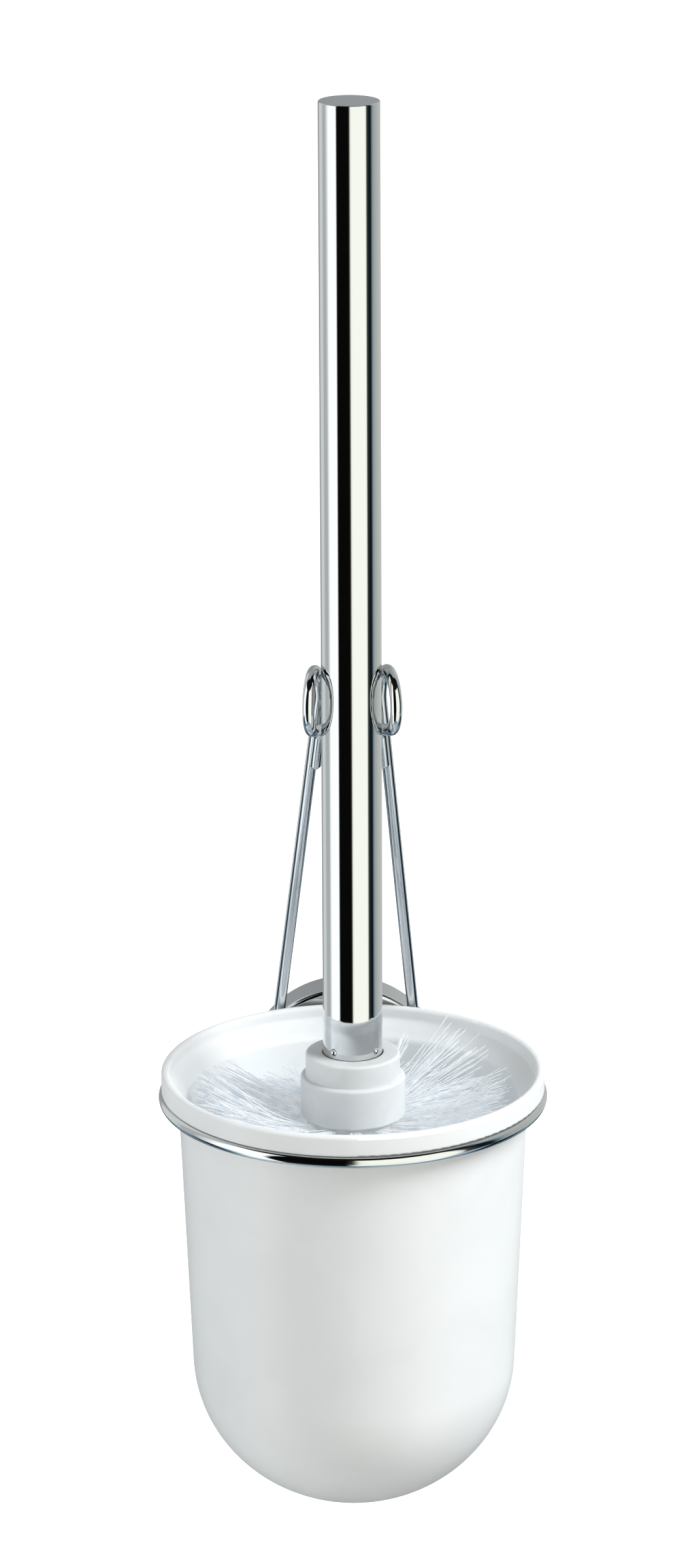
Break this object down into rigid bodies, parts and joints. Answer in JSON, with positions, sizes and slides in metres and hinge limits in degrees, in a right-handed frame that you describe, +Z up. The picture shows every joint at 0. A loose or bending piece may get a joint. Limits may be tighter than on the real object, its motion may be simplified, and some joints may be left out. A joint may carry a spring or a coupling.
{
  "type": "toilet brush holder",
  "caption": "Wall-hung toilet brush set: chrome tube handle held between two wire eyelets, bristle head in a white bowl on a wire ring, round wall cover.",
  "frame": {"origin": "centre of the wall plate's back face, on the wall", "axes": "+Z up along the handle, +Y into the wall, the set stands out towards -Y"},
  "size_m": [0.1045, 0.1153, 0.3854],
  "materials": {
    "chrome": "polished",
    "zinc_steel": "satin",
    "grub_steel": "satin",
    "brass_bush": "satin",
    "moulded_plate": "matte",
    "white_bowl": "satin",
    "white_head": "satin",
    "bristle": "satin"
  },
  "bodies": {
    "wall_frame": {"wall_plate": "moulded_plate", "wall_cover": "chrome", "cover_collar": "zinc_steel", "grub_screw": "grub_steel", "bowl_ring": "chrome", "upright_left": "chrome", "upright_right": "chrome"},
    "bowl": {"bowl": "white_bowl"},
    "brush_head": {"brush_core": "white_head", "tuft_row_1": "bristle", "tuft_row_2": "bristle", "tuft_row_3": "bristle", "tuft_row_4": "bristle", "tuft_row_5": "bristle", "tuft_row_6": "bristle", "tuft_row_7": "bristle", "tuft_row_8": "bristle", "tuft_row_9": "bristle", "tip_tufts": "bristle"},
    "handle": {"handle_tube": "chrome", "handle_cap": "chrome", "handle_insert": "brass_bush"}
  },
  "joints": [
    {"name": "brush_draw", "type": "slide", "parent": "wall_frame", "child": "brush_head", "axis": [0, -0.309, 0.9511], "range_m": [0, 0.165], "deforming": ["tuft_row_1", "tuft_row_2", "tuft_row_3", "tuft_row_4", "tuft_row_5", "tuft_row_6", "tuft_row_7", "tuft_row_8", "tuft_row_9", "tip_tufts"]},
    {"name": "handle_unscrew", "type": "slide", "parent": "brush_head", "child": "handle", "axis": [0, 0, 1], "range_m": [0, 0.02]},
    {"name": "bowl_turn", "type": "hinge", "parent": "wall_frame", "child": "bowl", "pos_m": [0, -0.0631, 0.0236], "axis": [0, 0, 1], "continuous": true}
  ]
}
